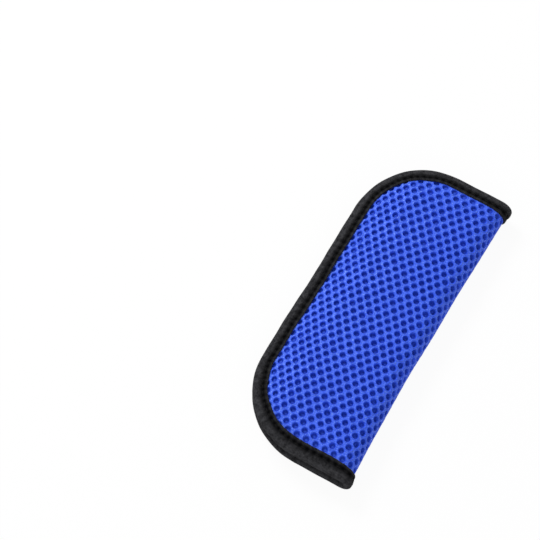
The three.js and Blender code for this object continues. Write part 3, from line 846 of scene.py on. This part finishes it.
def strip_hairs(near, far, curl):
    """Rows of bent hairs: an arch for a loop and a cane for a hook. A hair is a tube along the line
    (reach (1 - cos a), height sin a), with a from 0 to curl, and square across that line."""
    rng = np.random.default_rng(11)
    row_places = np.arange(near + HAIRS_FROM_EDGES[0], far - HAIRS_FROM_EDGES[1], HAIR_ROW_PITCH)
    hair_places = np.arange(HAIRS_FROM_ENDS[0] - STRIP_HALF_LENGTH, STRIP_HALF_LENGTH - HAIRS_FROM_ENDS[1],
                            HAIR_PITCH)
    hs, hv = np.meshgrid(row_places, hair_places, indexing="ij")
    hs = (hs + rng.normal(0, HAIR_SCATTER, hs.shape)).ravel()[:, None, None]
    hv = (hv + rng.normal(0, HAIR_SCATTER, hv.shape)).ravel()[:, None, None]
    turn = np.linspace(0, curl, HAIR_RINGS)[None, :, None]
    around = np.linspace(0, 2 * math.pi, HAIR_SIDES, endpoint=False)[None, None, :]
    heading = rng.uniform(-MOST_TURNED, MOST_TURNED, hs.shape)
    tall = rng.normal(HAIR_HEIGHT, HEIGHT_UNEVEN, hs.shape)
    run = np.hypot(HAIR_REACH * np.sin(turn), tall * np.cos(turn))
    out = HAIR_REACH * (1 - np.cos(turn)) + HAIR_RADIUS * np.cos(around) * tall * np.cos(turn) / run
    lift = tall * np.sin(turn) - HAIR_RADIUS * np.cos(around) * HAIR_REACH * np.sin(turn) / run
    aside = HAIR_RADIUS * np.sin(around) + 0 * turn
    s = hs + out * np.cos(heading) - aside * np.sin(heading)
    v = hv + out * np.sin(heading) + aside * np.cos(heading)
    points = fold(s, v, half_gap(s, v) - CLEARANCE - HAIR_ROOT - lift).reshape(-1, 3)
    tube = grid_faces(HAIR_RINGS, HAIR_SIDES, False, True)
    count = HAIR_RINGS * HAIR_SIDES
    cap = np.arange(HAIR_SIDES)[None, :]
    one = np.concatenate([tube, cap, count - 1 - cap])
    faces = one[None, :, ::-1] + count * np.arange(len(hs))[:, None, None]
    return points, faces.reshape(-1, 4), np.stack([s, v], -1).reshape(-1, 2)


print("faces of a strip's hairs:", len(strip_hairs(STRIP_START, STRIP_END, math.pi)[1]))

# %% The two strips
LOOP_CURL, HOOK_CURL = math.pi, 2.4


def strip_piece(name, near, far, curl, finish, node):
    """A base and its hairs as one piece in the place of a CAD node."""
    base, hairs = strip_base(near, far), strip_hairs(near, far, curl)
    faces = np.concatenate([base[1], hairs[1] + len(base[0])])
    piece = make_piece(name, np.concatenate([base[0], hairs[0]]), faces,
                       np.concatenate([base[2], hairs[2]]), finish)
    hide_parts(node)


strip_weave = Finish("black_closure_strip")
place, across, along = strip_weave.flat_place()
cords = (across * (TURN / 0.7)).stripes()
grain = strip_weave.noise(place, 2.0, 3.0)
colour = strip_weave.blend(cords * 0.5 + grain * 0.5, srgb(14, 14, 16), srgb(48, 48, 52))
relief = strip_weave.bump(cords + grain, 0.0001, 0.6)
strip_finish = strip_weave.cloth(colour, 0.6 + grain * 0.2, relief, specular=0.4)
strip_piece("loop_side", STRIP_START, STRIP_END, LOOP_CURL, strip_finish, "loop_strip")
strip_piece("hook_side", FLAT_WIDTH - STRIP_END, FLAT_WIDTH - STRIP_START, HOOK_CURL, strip_finish,
            "hook_strip")

# %% [markdown]
# ## Floor and light
# A studio photograph of a dark and blue object on white wants broad soft light from the upper left,
# a little fill from all round, and a floor that stays white but keeps the contact shadow. More light
# would bleach the pad, so the floor is made white where the camera or a reflection sees it, and the
# lamps stay plain.

# %% Floor
FLOOR_REACH, GLOW_SHARE = 3, 0.94
floor_mesh = bpy.data.meshes.new("floor")
corners = [(-FLOOR_REACH, -FLOOR_REACH, 0), (FLOOR_REACH, -FLOOR_REACH, 0),
           (FLOOR_REACH, FLOOR_REACH, 0), (-FLOOR_REACH, FLOOR_REACH, 0)]
floor_mesh.from_pydata(corners, [], [(0, 1, 2, 3)])
floor = bpy.data.objects.new("floor", floor_mesh)
bpy.context.scene.collection.objects.link(floor)
paper = Finish("white_paper")
rays = paper.node("ShaderNodeLightPath").socket.node.outputs
seen = Number(paper, rays["Is Camera Ray"])
for kind in ("Is Glossy Ray", "Is Transmission Ray"):
    seen = seen.math("MAXIMUM", Number(paper, rays[kind]))
matte = paper.node("ShaderNodeBsdfDiffuse", None, {"Color": (0.86, 0.86, 0.86)})
glow = paper.node("ShaderNodeEmission", None, {"Color": (1.0, 1.0, 1.0), "Strength": 1.0})
sheet = paper.node("ShaderNodeMixShader", None, [seen * GLOW_SHARE, matte, glow])
paper.node("ShaderNodeOutputMaterial", None, [sheet])
floor_mesh.materials.append(paper.material)
print("floor:", 2 * FLOOR_REACH, "m wide")

# %% Light
WORLD_STRENGTH = 0.5
PAD_MIDDLE = (0.0, 0.0, 0.01)
world = bpy.data.worlds.new("studio")
bpy.context.scene.world = world
world.use_nodes = True
sky = world.node_tree.nodes["Background"].inputs
sky["Color"].default_value = (1, 1, 1, 1)
sky["Strength"].default_value = WORLD_STRENGTH


def aim(place, target):
    """The turn that points an object's -Z from one place to another with +Y up."""
    return (Vector(target) - Vector(place)).to_track_quat("-Z", "Y").to_euler()


def soft_lamp(name, place, size, power):
    """A round area lamp that faces the pad: place and size in metres, power in watts."""
    lamp = bpy.data.lights.new(name, "AREA")
    lamp.shape, lamp.size, lamp.energy = "DISK", size, power
    held = bpy.data.objects.new(name, lamp)
    held.location, held.rotation_euler = place, aim(place, PAD_MIDDLE)
    bpy.context.scene.collection.objects.link(held)
    print(f"{name}: {power:.0f} W, {size} m wide")


soft_lamp("window", (-0.75, 0.35, 0.9), 0.5, 11.0)
soft_lamp("fill", (0.7, -0.9, 0.9), 0.9, 4.0)

# %% [markdown]
# ## Camera
# The camera looks from the photograph's angle. Its lens, angles and distance come from fitting the
# pad's outline, so they are given in the photograph's own terms: a focal length in pixels, and the
# pixel where the middle of the pad lies. From those two the camera's place in metres follows.

# %% Camera
FOCAL_PIXELS, FRAME_PIXELS, SENSOR_MM = 2400.0, 540.0, 36.0
AZIMUTH, ELEVATION, DISTANCE = math.radians(30.0), math.radians(66.6), 1.157
PAD_AT = (369.2, 312.9)

back = np.array([math.sin(AZIMUTH) * math.cos(ELEVATION), -math.cos(AZIMUTH) * math.cos(ELEVATION),
                 math.sin(ELEVATION)])
right = np.array([math.cos(AZIMUTH), math.sin(AZIMUTH), 0.0])
up = np.cross(back, right)
eye = (np.array(PAD_MIDDLE) + back * DISTANCE
       - right * (PAD_AT[0] - FRAME_PIXELS / 2) / FOCAL_PIXELS * DISTANCE
       + up * (PAD_AT[1] - FRAME_PIXELS / 2) / FOCAL_PIXELS * DISTANCE)
camera_data = bpy.data.cameras.new("camera")
camera_data.sensor_width, camera_data.lens = SENSOR_MM, SENSOR_MM * FOCAL_PIXELS / FRAME_PIXELS
camera_data.clip_start, camera_data.clip_end = 0.01, 20
camera = bpy.data.objects.new("camera", camera_data)
camera.location = eye
camera.rotation_euler = aim(eye, eye - back)
bpy.context.scene.collection.objects.link(camera)
bpy.context.scene.camera = camera
bpy.context.scene.view_settings.view_transform = "Standard"
print(f"lens {camera_data.lens:.0f} mm, camera at", eye.round(3))
